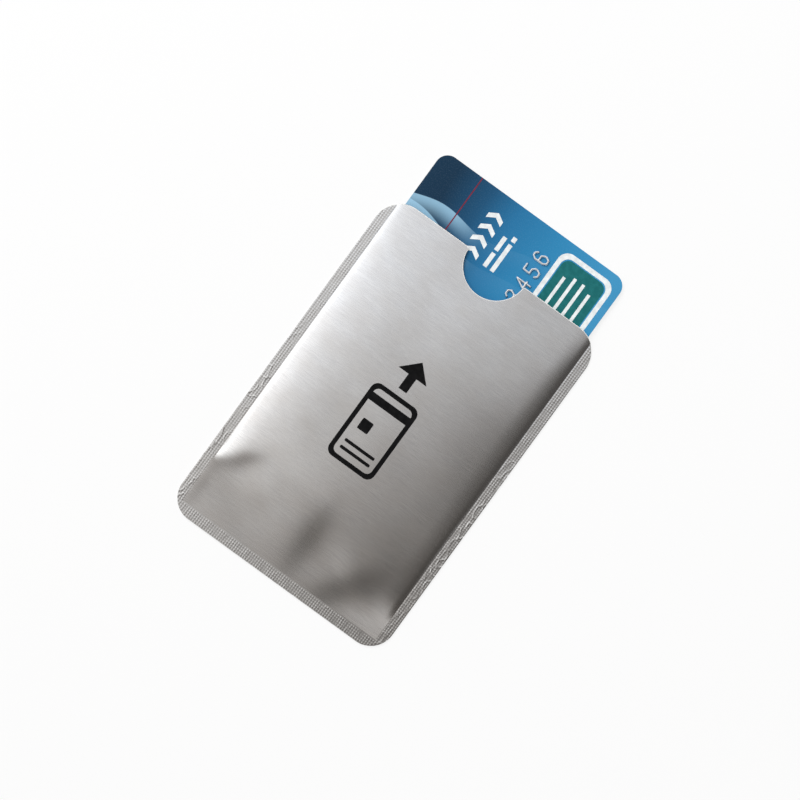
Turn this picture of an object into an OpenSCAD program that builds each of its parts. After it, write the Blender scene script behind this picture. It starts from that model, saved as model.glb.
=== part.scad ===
// Foil card sleeve with a contactless card in it, in millimetres.
// Origin: middle of the sleeve's back face. +X across the sleeve, +Y towards its mouth, +Z out of its front.
// The sleeve is two laminated webs, back and front, sealed together along both sides and the bottom.

/* [Card] */
// Short side of the card
card_w = 53.98; // [52.6:0.01:60]
// Long side of the card
card_l = 85.6; // [80:0.1:92]
// Corner radius of the card
card_corner_r = 3.18; // [2:0.01:5]
// How far the card stands out of the mouth
card_out = 15.4; // [6:0.1:30]
// Thickness of the card's core
core_t = 0.48; // [0.4:0.01:0.6]
// Thickness of each printed sheet
sheet_t = 0.1; // [0.06:0.01:0.16]
// Thickness of each outer overlay
overlay_t = 0.04; // [0.02:0.01:0.08]
// Thickness of each ink or stamped layer
ink_t = 0.02; // [0.01:0.01:0.04]

/* [Chip and antenna] */
// Length of the contact plate, along the card
plate_l = 13; // [11:0.1:14]
// Width of the contact plate, across the card
plate_w = 11.8; // [10:0.1:13]
// Middle of the contact plate from the card's inner end
plate_from_end = 15.06; // [13:0.01:18]
// Middle of the contact plate from the card's upper long edge
plate_from_edge = 23.89; // [20:0.01:24.8]
// Corner radius of the contact plate
plate_corner_r = 1.4; // [0.5:0.1:2.5]
// Gap between neighbouring contacts
contact_gap = 0.25; // [0.1:0.05:0.4]
// Rows of contacts at each side of the plate
contact_rows = 4; // [3:1:4]
// Width of the band between the two columns of contacts
contact_band_w = 4; // [2:0.1:5]
// Side of the potted chip under the contact plate
capsule_w = 7; // [5:0.1:8.5]
// Depth of the potted chip
capsule_t = 0.3; // [0.25:0.01:0.36]
// Turns of the antenna
antenna_turns = 4; // [2:1:6]
// Spacing of the antenna's turns
antenna_pitch = 0.6; // [0.4:0.05:0.8]
// Width of the antenna's track
antenna_track_w = 0.2; // [0.1:0.05:0.3]
// Thickness of the antenna's track
antenna_track_t = 0.06; // [0.04:0.01:0.08]
// Distance of the outer turn from the card's edge
antenna_inset = 2.6; // [2:0.1:4]

/* [Raised number] */
// Height of the digits above the card
emboss_h = 0.46; // [0.3:0.01:0.6]
// Height of a digit
digit_h = 4.3; // [3.6:0.1:4.8]
// Width of a digit
digit_w = 2.3; // [1.8:0.1:2.6]
// Stroke of a digit
digit_stroke = 0.5; // [0.3:0.05:0.7]
// Spacing of the digits
digit_pitch = 3.75; // [3.5:0.05:3.8]
// Digits in the number
digit_count = 16; // [4:1:16]
// Digits in a group
digit_group = 4; // [2:1:8]
// Middle of the number from the card's lower long edge
digit_from_edge = 20.19; // [19.8:0.01:21.5]
// Middle of the last digit from the card's outer end
digit_from_end = 7.4; // [6:0.1:10]

/* [Card print] */
// Length of the framed patch
patch_l = 22; // [16:0.5:26]
// Width of the framed patch
patch_w = 15.1; // [12:0.1:15.6]
// Corner radius of the framed patch
patch_corner_r = 2.8; // [2:0.1:4]
// Width of the patch's frame
patch_frame_w = 1.2; // [0.6:0.1:1.6]
// Dark line between the frame and its field
patch_line_w = 0.3; // [0.1:0.05:0.5]
// Distance of the patch from the card's lower long edge
patch_from_edge = 1.8; // [1.5:0.1:2.3]
// Distance of the patch from the card's outer end
patch_from_end = 2.2; // [1.5:0.1:5]
// Bars across the patch's field
patch_bars = 4; // [2:1:5]
// Length of the white marks beside the number
marks_l = 13; // [8:0.5:16]
// Height of the row of chevrons
chevron_h = 4.2; // [3:0.1:5]
// Chevrons in their row
chevron_count = 4; // [3:1:5]
// Height of the bars under the chevrons
bar_h = 1.1; // [0.6:0.1:1.4]
// Middle of the white marks from the card's upper long edge
marks_from_edge = 21.9; // [20:0.1:24]
// Middle of the white marks from the card's outer end
marks_from_end = 10.4; // [9:0.1:14]
// Distance of the hairline from the card's upper long edge
hairline_from_edge = 11.3; // [8:0.1:14]
// Width of the hairline
hairline_w = 0.3; // [0.2:0.05:0.8]
// Width of the magnetic stripe
stripe_w = 10.4; // [8:0.1:12.7]
// Distance of the magnetic stripe from the card's upper long edge
stripe_from_edge = 5.5; // [4:0.1:6.5]
// Length of the signature panel
signature_l = 60; // [40:1:70]
// Width of the signature panel
signature_w = 8; // [6:0.1:12]
// Gap between the magnetic stripe and the signature panel
signature_gap = 3; // [1:0.1:6]

/* [Pocket] */
// Room between the card and each side seam
side_room = 1.21; // [1:0.01:1.8]
// Pocket depth beyond the card's length
end_room = 3.4; // [3:0.1:8]
// Gap under the card
card_lift = 0.06; // [0.05:0.01:0.15]
// Height of the pocket above the raised number
top_room = 0.5; // [0.4:0.05:1]
// Gap above the card's edges, under the front's shoulders
edge_gap = 0.2; // [0.1:0.01:0.3]
// Distance from the bottom seam at which the card stops
stop_room = 2; // [1.5:0.1:3]

/* [Laminate] */
// Thickness of the brushed outer film
film_t = 0.05; // [0.03:0.01:0.1]
// Thickness of the shielding foil
foil_t = 0.03; // [0.02:0.01:0.1]
// Thickness of the paper liner and of the seal strips
liner_t = 0.12; // [0.06:0.01:0.2]

/* [Sleeve] */
// Width of each side seam
side_seam_w = 2.8; // [2:0.1:5]
// Width of the bottom seam
bottom_seam_w = 3; // [2:0.1:6]
// Corner radius at the mouth
mouth_corner_r = 7; // [4:0.1:9]
// Corner radius at the bottom
bottom_corner_r = 6.3; // [4:0.1:8]
// Width over which the front curves up from a side seam
shoulder_w = 9; // [7:0.5:12]
// Length over which the front curves up from the bottom seam
bottom_shoulder_l = 16; // [12:0.5:20]
// Radius of the thumb notch
notch_r = 8; // [6:0.1:12]
// Offset of the thumb notch from the sleeve's middle line
notch_x = -0.5; // [-3:0.1:3]
// Rounding of the notch's two lips
lip_r = 0.6; // [0.3:0.1:1]

/* [Front print] */
// Width of the printed card figure
figure_w = 13.2; // [10:0.1:16]
// Length of the printed card figure
figure_l = 20.8; // [16:0.1:24]
// Line width of the figure
figure_line = 1.15; // [0.8:0.05:1.4]
// Corner radius of the figure
figure_corner_r = 2; // [1.5:0.1:3]
// Width of the printed arrow
arrow_w = 8.2; // [6:0.1:10]
// Gap between the figure and the arrow
arrow_gap = 1.6; // [1:0.1:3]
// Offset of the print from the sleeve's middle line
figure_x = -1.4; // [-3:0.1:3]
// Middle of the figure from the mouth
figure_from_mouth = 49; // [44:0.5:54]

/* [Hidden] */
$fn = 72;

// How far a cutting shape runs past what it cuts
past = 1;
// Least room between the raised number and the seal strips
slack = 0.08;

web_t = film_t + foil_t + liner_t;
card_t = 2 * overlay_t + 2 * sheet_t + core_t;
pocket_w = card_w + 2 * side_room;
pocket_l = card_l + end_room;
pocket_h = card_lift + card_t + emboss_h + top_room;
sleeve_w = pocket_w + 2 * side_seam_w;
sleeve_l = pocket_l + bottom_seam_w;
mouth_y = sleeve_l / 2;
seam_y = bottom_seam_w - sleeve_l / 2;
front_top_z = 2 * web_t + pocket_h;

// Levels in the card, from its back up
card_z = web_t + card_lift;
back_sheet_z = card_z + overlay_t;
core_z = back_sheet_z + sheet_t;
front_sheet_z = core_z + core_t;
front_overlay_z = front_sheet_z + sheet_t;
card_top_z = front_overlay_z + overlay_t;

// The card's ends and edges, and the places of its details
outer_end_y = mouth_y + card_out;
inner_end_y = outer_end_y - card_l;
card_mid_y = outer_end_y - card_l / 2;
upper_edge_x = -card_w / 2;
lower_edge_x = card_w / 2;
plate_x = upper_edge_x + plate_from_edge;
plate_y = inner_end_y + plate_from_end;
number_x = lower_edge_x - digit_from_edge;
last_digit_y = outer_end_y - digit_from_end;
patch_x = lower_edge_x - patch_from_edge - patch_w / 2;
patch_y = outer_end_y - patch_from_end - patch_l / 2;
marks_x = upper_edge_x + marks_from_edge;
marks_y = outer_end_y - marks_from_end;

// How steeply the front rises from a seam: at the card's edge it already clears the card
clear_share = (card_lift + card_t + edge_gap) / pocket_h;
side_power = ln(1 - clear_share) / ln(1 - side_room / shoulder_w);
bottom_power = ln(1 - clear_share) / ln(1 - stop_room / bottom_shoulder_l);
shoulder_steps = 10;
step_growth = 1.6;

// The seal strips reach in to where the front has risen above the raised number
strip_share = (card_lift + card_t + emboss_h + slack) / pocket_h;
strip_x = pocket_w / 2 - shoulder_w * (1 - pow(1 - strip_share, 1 / side_power));
strip_y = seam_y + bottom_shoulder_l * (1 - pow(1 - strip_share, 1 / bottom_power));

// Points of one shoulder, close together near the seam: distance from the seam, and height
function shoulder(reach, power) = [
    for (i = [0:shoulder_steps])
        let (share = pow(i / shoulder_steps, step_growth))
        [reach * share, pocket_h * (1 - pow(1 - share, power))]
];

// What a round corner leaves over, in the quarter towards +X and +Y of the corner's centre
module corner_waste(r) {
    difference() {
        square(r + past);
        circle(r);
    }
}

// Rectangle centred on the origin, with its own corner radius at each end of its length
module round_plate(w, l, low_r, high_r) {
    difference() {
        square([w, l], center = true);
        for (side = [0, 1]) mirror([side, 0]) {
            translate([w / 2 - high_r, l / 2 - high_r]) corner_waste(high_r);
            mirror([0, 1]) translate([w / 2 - low_r, l / 2 - low_r]) corner_waste(low_r);
        }
    }
}

// Thumb notch with round lips, for an edge along the X axis
module notch() {
    circle(notch_r);
    for (side = [0, 1]) mirror([side, 0]) difference() {
        translate([0, -lip_r]) square([notch_r + lip_r, lip_r + past]);
        translate([notch_r + lip_r, -lip_r]) circle(lip_r);
    }
}

// Die-cut outline of both webs
module sleeve_outline() {
    difference() {
        round_plate(sleeve_w, sleeve_l, bottom_corner_r, mouth_corner_r);
        translate([notch_x, mouth_y]) notch();
    }
}

// One flat layer of the back web
module back_layer(z, t) {
    translate([0, 0, z]) linear_extrude(height = t) sleeve_outline();
}

// All that lies under one level of the front web: arched across the sleeve, and closed at the bottom
module under_web(level, over) {
    side = shoulder(shoulder_w, side_power);
    foot = shoulder(bottom_shoulder_l, bottom_power);
    wide = sleeve_w / 2 + over;
    long = sleeve_l / 2 + over;
    across = concat(
        [[-wide, -over], [-wide, level]],
        [for (p = side) [p[0] - pocket_w / 2, level + p[1]]],
        [for (i = [shoulder_steps:-1:0]) [pocket_w / 2 - side[i][0], level + side[i][1]]],
        [[wide, level], [wide, -over]]
    );
    along = concat(
        [[-long, -over], [-long, level]],
        [for (p = foot) [seam_y + p[0], level + p[1]]],
        [[long, level + pocket_h], [long, -over]]
    );
    intersection() {
        rotate([90, 0, 0]) linear_extrude(height = 2 * long, center = true) polygon(across);
        rotate([90, 0, 90]) linear_extrude(height = 2 * wide, center = true) polygon(along);
    }
}

// One layer of the front web
module front_layer(level, t) {
    intersection() {
        translate([0, 0, -past]) linear_extrude(height = front_top_z + 2 * past) sleeve_outline();
        difference() {
            under_web(level + t, past);
            under_web(level, 2 * past);
        }
    }
}

// The part of the front's inner layer that lies in a box of the plan
module lining(x0, x1, y0, y1) {
    intersection() {
        front_layer(web_t, liner_t);
        translate([x0, y0, -past]) cube([x1 - x0, y1 - y0, front_top_z + 2 * past]);
    }
}

module back_film() { color("silver") back_layer(0, film_t); }
module back_foil() { color("gainsboro") back_layer(film_t, foil_t); }
module back_liner() { color("white") back_layer(film_t + foil_t, liner_t); }

// Paper over the whole pocket; the three seal strips carry on from it down to the seams
module front_liner() { color("white") lining(-strip_x, strip_x, strip_y, sleeve_l); }
module left_seal_strip() { color("whitesmoke") lining(-sleeve_w, -strip_x, -sleeve_l, sleeve_l); }
module right_seal_strip() { color("whitesmoke") lining(strip_x, sleeve_w, -sleeve_l, sleeve_l); }
module bottom_seal_strip() { color("whitesmoke") lining(-strip_x, strip_x, -sleeve_l, strip_y); }
module front_foil() { color("gainsboro") front_layer(web_t + liner_t, foil_t); }
module front_film() { color("silver") front_layer(web_t + liner_t + foil_t, film_t); }

// Printed figure of a card, with a stripe, a chip and two lines, and an arrow towards the mouth
module figure() {
    inner_w = figure_w - 2 * figure_line;
    inner_l = figure_l - 2 * figure_line;
    inner_r = figure_corner_r - figure_line / 2;
    difference() {
        round_plate(figure_w, figure_l, figure_corner_r, figure_corner_r);
        round_plate(inner_w, inner_l, inner_r, inner_r);
    }
    translate([0, inner_l / 2 - 2.2 * figure_line]) square([figure_w - figure_line, 1.8 * figure_line], center = true);
    translate([-inner_w / 5, 0]) square(2.6 * figure_line, center = true);
    for (row = [1, 2])
        translate([0, 1.7 * row * figure_line - inner_l / 2])
            square([inner_w - 2 * figure_line, 0.7 * figure_line], center = true);
    translate([0, figure_l / 2 + arrow_gap]) polygon([
        [-figure_line, 0], [figure_line, 0], [figure_line, arrow_w / 2], [arrow_w / 2, arrow_w / 2],
        [0, arrow_w], [-arrow_w / 2, arrow_w / 2], [-figure_line, arrow_w / 2]
    ]);
}

module front_print() {
    color("black") translate([figure_x, mouth_y - figure_from_mouth, front_top_z])
        linear_extrude(height = ink_t) figure();
}

// One whole layer of the card
module card_layer(z, t) {
    translate([0, card_mid_y, z]) linear_extrude(height = t)
        round_plate(card_w, card_l, card_corner_r, card_corner_r);
}

// Plate with the outline of the contact plate
module chip_plate(z, t) {
    translate([plate_x, plate_y, z]) linear_extrude(height = t)
        round_plate(plate_w, plate_l, plate_corner_r, plate_corner_r);
}

// Straight piece of antenna track between two points
module track(from, to, z, t) {
    half = antenna_track_w / 2;
    low = [min(from[0], to[0]) - half, min(from[1], to[1]) - half, z];
    translate(low) cube([abs(to[0] - from[0]) + 2 * half, abs(to[1] - from[1]) + 2 * half, t]);
}

function turn_inset(turn) = antenna_inset + turn * antenna_pitch;
function turn_x(turn) = card_w / 2 - turn_inset(turn);
function turn_low(turn) = inner_end_y + turn_inset(turn);
function turn_high(turn) = outer_end_y - turn_inset(turn);

lead_spread = capsule_w / 4;
capsule_z = front_sheet_z - capsule_t;

// Spiral of square turns, from the chip's right lead to its left one; the right lead passes under the turns
module antenna(over) {
    z = front_sheet_z - antenna_track_t;
    bridge_z = front_sheet_z - 3 * antenna_track_t;
    right_lead = plate_x + lead_spread;
    left_lead = plate_x - lead_spread;
    chip_y = plate_y - capsule_w / 2 - antenna_track_w / 2;
    corners = concat(
        [[right_lead, turn_low(0)]],
        [for (turn = [0:antenna_turns - 1], corner = [0:3]) [
            (corner < 2 ? 1 : -1) * turn_x(turn),
            corner == 0 ? turn_low(turn) : corner == 3 ? turn_low(turn + 1) : turn_high(turn)
        ]],
        [[left_lead, turn_low(antenna_turns)], [left_lead, chip_y]]
    );
    for (i = [1:len(corners) - 1]) track(corners[i - 1], corners[i], z, antenna_track_t + over);
    track(corners[0], corners[0], bridge_z, 3 * antenna_track_t + over);
    track(corners[0], [right_lead, chip_y], bridge_z, antenna_track_t);
}

module potted_chip(over) {
    translate([plate_x - capsule_w / 2, plate_y - capsule_w / 2, capsule_z])
        cube([capsule_w, capsule_w, capsule_t + over]);
}

module antenna_coil() { color("peru") antenna(0); }
module chip_capsule() { color("dimgray") potted_chip(0); }
module chip_carrier() { color("tan") chip_plate(front_sheet_z, sheet_t); }

// Eight contacts in two columns, and the band between the columns
module contact_pads() {
    row_w = plate_w / contact_rows;
    column_l = (plate_l - contact_band_w) / 2;
    color("gold") translate([plate_x, plate_y, front_overlay_z]) linear_extrude(height = overlay_t) difference() {
        round_plate(plate_w, plate_l, plate_corner_r, plate_corner_r);
        for (side = [0, 1]) mirror([0, side]) {
            translate([0, contact_band_w / 2]) square([plate_w + past, contact_gap], center = true);
            for (row = [1:contact_rows - 1])
                translate([row * row_w - plate_w / 2, plate_l / 2 - column_l / 2])
                    square([contact_gap, column_l + contact_gap], center = true);
        }
    }
}

module card_core() {
    color("ivory") difference() {
        card_layer(core_z, core_t);
        antenna(past);
        potted_chip(past);
    }
}
module card_front_sheet() {
    color("royalblue") difference() {
        card_layer(front_sheet_z, sheet_t);
        chip_plate(front_sheet_z - past, sheet_t + 2 * past);
    }
}
module card_front_overlay() {
    color("steelblue") difference() {
        card_layer(front_overlay_z, overlay_t);
        chip_plate(front_overlay_z - past, overlay_t + 2 * past);
    }
}
module card_back_sheet() { color("lightsteelblue") card_layer(back_sheet_z, sheet_t); }
module card_back_overlay() { color("lightblue") card_layer(card_z, overlay_t); }

module magnetic_stripe() {
    color("black") translate([upper_edge_x + stripe_from_edge, inner_end_y, card_z - ink_t])
        cube([stripe_w, card_l, ink_t]);
}
module signature_panel() {
    left_x = upper_edge_x + stripe_from_edge + stripe_w + signature_gap;
    color("whitesmoke") translate([left_x, card_mid_y - signature_l / 2, card_z - ink_t])
        cube([signature_w, signature_l, ink_t]);
}

// Ends of each stroke, in halves of a digit's width and height, and the strokes of the digits 0 to 9
stroke_ends = [
    [[-1, 1], [1, 1]], [[1, 0], [1, 1]], [[1, -1], [1, 0]], [[-1, -1], [1, -1]],
    [[-1, -1], [-1, 0]], [[-1, 0], [-1, 1]], [[-1, 0], [1, 0]]
];
digit_strokes = [
    [0, 1, 2, 3, 4, 5], [1, 2], [0, 1, 3, 4, 6], [0, 1, 2, 3, 6], [1, 2, 5, 6],
    [0, 2, 3, 5, 6], [0, 2, 3, 4, 5, 6], [0, 1, 2], [0, 1, 2, 3, 4, 5, 6], [0, 1, 2, 3, 5, 6]
];

module digit(value) {
    half = digit_stroke / 2;
    reach = [digit_w / 2 - half, digit_h / 2 - half];
    for (stroke = digit_strokes[value]) {
        from = [reach[0] * stroke_ends[stroke][0][0], reach[1] * stroke_ends[stroke][0][1]];
        to = [reach[0] * stroke_ends[stroke][1][0], reach[1] * stroke_ends[stroke][1][1]];
        translate([from[0] - half, from[1] - half])
            square([to[0] - from[0] + digit_stroke, to[1] - from[1] + digit_stroke]);
    }
}

// Counting digits 1, 2, 3 and so on, read along the card, with a space between their groups
module raised_number() {
    last_place = digit_count - 1 + floor((digit_count - 1) / digit_group);
    color("gainsboro") translate([number_x, last_digit_y, card_top_z]) rotate([0, 0, 90])
        linear_extrude(height = emboss_h)
            for (i = [0:digit_count - 1])
                translate([(i + floor(i / digit_group) - last_place) * digit_pitch, 0]) digit((i + 1) % 10);
}

// The patch's bars, longest in the middle of its field
module patch_marks() {
    field_l = patch_l - 2 * (patch_frame_w + patch_line_w);
    field_w = patch_w - 2 * (patch_frame_w + patch_line_w);
    spacing = field_w / (patch_bars + 1);
    for (bar = [1:patch_bars])
        translate([bar * spacing - field_w / 2, 0])
            square([spacing / 3, field_l * (0.36 + 0.36 * sin(180 * bar / (patch_bars + 1)))], center = true);
}

// A row of chevrons and two broken bars, read along the card
module white_marks() {
    pitch = marks_l / chevron_count;
    notch_l = chevron_h / 2;
    width = pitch * 0.4;
    rotate([0, 0, 90]) {
        for (i = [0:chevron_count - 1]) translate([i * pitch - marks_l / 2, chevron_h * 0.6]) polygon([
            [0, chevron_h / 2], [width, chevron_h / 2], [width + notch_l * 0.6, 0], [width, -chevron_h / 2],
            [0, -chevron_h / 2], [notch_l * 0.6, 0]
        ]);
        for (row = [1, 2]) translate([-marks_l / 2, -row * 1.9 * bar_h - bar_h / 2]) {
            square([marks_l * 0.3 * row, bar_h]);
            translate([marks_l * (0.3 * row + 0.06), 0]) square([marks_l * (0.5 - 0.2 * row), bar_h]);
        }
    }
}

module white_print() {
    line_r = patch_corner_r - patch_frame_w / 2;
    color("white") translate([0, 0, card_top_z]) linear_extrude(height = ink_t) {
        translate([patch_x, patch_y]) {
            difference() {
                round_plate(patch_w, patch_l, patch_corner_r, patch_corner_r);
                round_plate(patch_w - 2 * patch_frame_w, patch_l - 2 * patch_frame_w, line_r, line_r);
            }
            patch_marks();
        }
        translate([marks_x, marks_y]) white_marks();
    }
}
module teal_print() {
    inset = patch_frame_w + patch_line_w;
    field_r = patch_corner_r - inset / 2;
    color("teal") translate([patch_x, patch_y, card_top_z]) linear_extrude(height = ink_t) difference() {
        round_plate(patch_w - 2 * inset, patch_l - 2 * inset, field_r, field_r);
        patch_marks();
    }
}
module red_hairline() {
    color("firebrick") translate([upper_edge_x + hairline_from_edge - hairline_w / 2, inner_end_y, card_top_z])
        cube([hairline_w, card_l, ink_t]);
}

front_film();
front_foil();
front_liner();
left_seal_strip();
right_seal_strip();
bottom_seal_strip();
back_liner();
back_foil();
back_film();
front_print();
card_core();
antenna_coil();
chip_capsule();
chip_carrier();
contact_pads();
card_front_sheet();
card_back_sheet();
card_front_overlay();
card_back_overlay();
magnetic_stripe();
signature_panel();
raised_number();
white_print();
teal_print();
red_hairline();
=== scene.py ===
import math

import bpy
import numpy as np
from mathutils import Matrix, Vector
from mathutils.geometry import delaunay_2d_cdt


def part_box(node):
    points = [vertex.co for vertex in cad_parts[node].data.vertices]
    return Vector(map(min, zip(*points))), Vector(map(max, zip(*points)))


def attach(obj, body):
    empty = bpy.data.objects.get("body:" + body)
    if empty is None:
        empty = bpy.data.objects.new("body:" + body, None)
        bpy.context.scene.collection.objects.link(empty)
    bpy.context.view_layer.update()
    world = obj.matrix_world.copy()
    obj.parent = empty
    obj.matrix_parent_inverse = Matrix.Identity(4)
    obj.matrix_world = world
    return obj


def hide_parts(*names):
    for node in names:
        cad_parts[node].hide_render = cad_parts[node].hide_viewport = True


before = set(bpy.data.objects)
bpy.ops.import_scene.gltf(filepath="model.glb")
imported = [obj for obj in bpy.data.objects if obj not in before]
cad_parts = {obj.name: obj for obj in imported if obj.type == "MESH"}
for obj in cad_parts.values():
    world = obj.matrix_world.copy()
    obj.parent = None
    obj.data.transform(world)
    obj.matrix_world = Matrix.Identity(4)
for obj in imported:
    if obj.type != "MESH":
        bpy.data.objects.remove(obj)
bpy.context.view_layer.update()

# A foil card sleeve with a contactless card partly out of it.
# Shapes are worked out in millimetres and turned into metres where a mesh is made.
MM = 0.001


def box_mm(node):
    """Lowest and highest corner of a CAD node, in millimetres."""
    low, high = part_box(node)
    return [value / MM for value in low], [value / MM for value in high]


# Sleeve, from the frame
half_w, mouth_y, film_t = box_mm("back_film")[1]
foot_y = box_mm("back_film")[0][1]
liner_low, liner_high = box_mm("front_liner")
strip_x = liner_high[0]
strip_y = liner_low[1]
web_z = box_mm("back_liner")[1][2]
foil_z = box_mm("front_foil")[0][2]
film_z = box_mm("front_film")[0][2]
seam_top_z = film_z + film_t
front_top_z = box_mm("front_film")[1][2]

# Sleeve, sizes that no box gives. The front's bulge spreads 0.3 mm over each side seam of 2.8 mm.
SIDE_SEAM_W = 2.5
FOOT_SEAM_W = 3.0
MOUTH_CORNER_R = 7.0
FOOT_CORNER_R = 6.3
NOTCH_X = -0.5
NOTCH_R = 8.0
LIP_R = 0.6
seam_x = half_w - SIDE_SEAM_W
seam_y = foot_y + FOOT_SEAM_W

# The film and the foil end a little short of the paper's cut edge at the mouth
FILM_SETBACK = 0.2
FOIL_SETBACK = 0.15

# Front's form over the card. Names that end in _Y hold the two places along the sleeve
# between which a value changes.
# Height of its middle, which sags a little towards the foot and is lower at the mouth
TOP_LIFT = 1.76
MOUTH_LIFT = 1.40
MOUTH_LIFT_Y = (15, 50)
SAG = 0.12
SAG_Y = (0, -28)
# How far it falls from there to each side, and the power of that curve
LEFT_FALL = 0.82
RIGHT_FALL = 0.61
LEFT_POWER = 4.0
RIGHT_POWER = 2.6
# Shares of the falls that are lost towards the mouth and the foot, each with its places
LEFT_LOSSES = ((0.7, (12, 52)), (0.2, (-8, -26)))
RIGHT_LOSSES = ((0.85, (0, 50)), (0.35, (-2, -22)))
# Beside a side seam the web turns up as a wall, which takes this share of the height, and
# goes on as a soft shoulder of changing width
WALL_W = 0.15
WALL_SHARE = 0.77
MOUTH_WALL_SHARE = 0.9
WALL_SHARE_Y = (-10, 40)
SHOULDER_W = 1.4
SHOULDER_WAVE = 0.07
SHOULDER_WAVE_SIZE = 6.0
# Share of the height that eases in further on, and how much of that is lost at the mouth
LEFT_EASE = 0.22
RIGHT_EASE = 0.25
EASE_REACH = 5.6
EASE_LOSS = 0.7
EASE_LOSS_Y = (33, 46)
# Height and falls below the card, where the pocket is empty
SLACK_LIFT = 1.32
SLACK_FOOT_LIFT = 1.02
SLACK_LIFT_Y = (-50, -26)
SLACK_LEFT_FALL = 0.0
SLACK_RIGHT_FALL = -0.38
# Faint waves all over the front
UNDULATION = 0.014
UNDULATION_SIZE = 9.0

# Line across the front where the web falls off the card's end: x, y and the width of the fall
FALL_LINE = (
    (-28, -28, 5), (-24, -27, 6), (-18, -26, 8), (-10, -28, 12), (0, -29, 13), (6, -30, 12),
    (12, -33, 10), (16, -35.5, 9), (20, -37, 8), (24, -36.5, 8), (28, -34.5, 9),
)
# It is softened by the mean over these shifts along X
FALL_SHIFTS = (-3.0, -1.8, -0.6, 0.6, 1.8, 3.0)
# Creases about that line: x, y, direction in degrees, half length, half width and height.
# Each has a ridge on its left and a hollow on its right, seen along its direction.
CREASES = (
    (1.2, -33, 90, 9.5, 4.8, 0.21),
    (16, -36.2, 50, 9.5, 5.0, 0.32),
    (-23.4, -26.8, 36, 5.6, 3.2, 0.28),
    (-13.5, -31, 80, 7.0, 7.0, 0.13),
    (8, -31, 90, 12.0, 12.0, 0.24),
    (-27, -37, 90, 6.0, 2.4, 0.05),
)

# Knurled seams: their dots, and how unevenly these are pressed
KNURL_PITCH = 0.64
KNURL_H = 0.038
PRESS_DEPTH = 0.03
PRESS_MEAN = 0.8
PRESS_SPREAD = 0.35
PRESS_SIZE = 1.6
# Their crinkles, which are weaker at the mouth and along the foot
CRINKLE_H = 0.05
CRINKLE_SIZE = 1.8
CRINKLE_SHARPNESS = 3.2
CRINKLE_PATCH_SIZE = 8.0
MOUTH_CRINKLES = 0.2
MOUTH_CRINKLES_Y = (28, -12)
FOOT_CRINKLES = 0.3

# Spacing of the meshes' points
EDGE_STEP = 0.32
FIRST_STEP = 0.12
STEP_GROWTH = 1.25
PANEL_STEP = 0.9
SEAM_STEP = 0.8
FLAT_STEP = 6.0
FLAT_SEAM_STEP = 3.0
INK_STEP = 0.8
CARD_STEP = 4.0
# Steps for each dot of the knurl, on the front and on the back
FRONT_DOT_STEPS = 4
BACK_DOT_STEPS = 3
# How far free points keep from the outline, over the pocket and as a share of the seams' step
PANEL_CLEAR = 0.25
SEAM_CLEAR = 0.4
# How far short of the outline the lines along the side seams end
LINE_GAP = 0.4

# Ink on the front
INK_PROUD = 0.012
INK_SUNK = 0.02
FIGURE_LINE = 1.15
FIGURE_R = 2.0
FIGURE_L = 20.8
BLOCK_R = 0.3
ARROW_W = 8.2

# Card, from the frame
card_low, card_high = box_mm("card_front_overlay")
plate_low, plate_high = box_mm("contact_pads")
number_low, number_high = box_mm("raised_number")
CARD_CORNER_R = 3.18
PLATE_CORNER_R = 1.4
CARD_EDGE_ROUND = 0.1

# Raised number, and the heights on it where silver starts and where it is whole
DIGIT_COUNT = 16
DIGIT_GROUP = 4
DIGIT_PITCH = 3.75
DIGIT_W = 2.3
STROKE = 0.5
RIDGE_HALF = 0.4
RIDGE_TOP_HALF = 0.08
RIDGE_STEP = 0.13
RIDGE_MARGIN = 0.6
RIDGE_SUNK = 0.02
SILVER_FROM = 0.16
SILVER_WHOLE = 0.27
# Strokes of the digits 0 to 9, in halves of a digit's width and height
DIGIT_STROKES = (
    (((-.5, 1), (.5, 1), (1, .6), (1, -.6), (.5, -1), (-.5, -1), (-1, -.6), (-1, .6), (-.5, 1)),),
    (((-.6, .6), (0, 1), (0, -1)),
     ((-.7, -1), (.7, -1))),
    (((-1, .6), (-.5, 1), (.5, 1), (1, .6), (1, .3), (-1, -1), (1, -1)),),
    (((-1, .7), (-.5, 1), (.5, 1), (1, .6), (.4, 0), (-.2, 0)),
     ((.4, 0), (1, -.6), (.5, -1), (-.5, -1), (-1, -.7))),
    (((.5, -1), (.5, 1), (-1, -.35), (1, -.35)),),
    (((.9, 1), (-.8, 1), (-.9, .1), (.4, .1), (1, -.25), (1, -.6), (.5, -1), (-.5, -1), (-1, -.7)),),
    (((.9, .7), (.4, 1), (-.4, 1), (-1, .6), (-1, -.6), (-.5, -1),
      (.5, -1), (1, -.6), (1, -.3), (.5, .1), (-1, .1)),),
    (((-1, 1), (1, 1), (-.2, -1)),),
    (((-.4, .1), (-.9, .6), (-.4, 1), (.4, 1), (.9, .6), (.4, .1), (-.4, .1)),
     ((-.4, .1), (-1, -.45), (-.5, -1), (.5, -1), (1, -.45), (.4, .1))),
    (((-.9, -.7), (-.4, -1), (.4, -1), (1, -.6), (1, .6), (.5, 1),
      (-.5, 1), (-1, .6), (-1, .3), (-.5, -.1), (1, -.1)),),
)


# Small helpers

def smooth(low, high, value):
    """Rises smoothly from 0 at low to 1 at high."""
    share = np.clip((value - low) / (high - low), 0, 1)
    return share * share * (3 - 2 * share)


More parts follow.
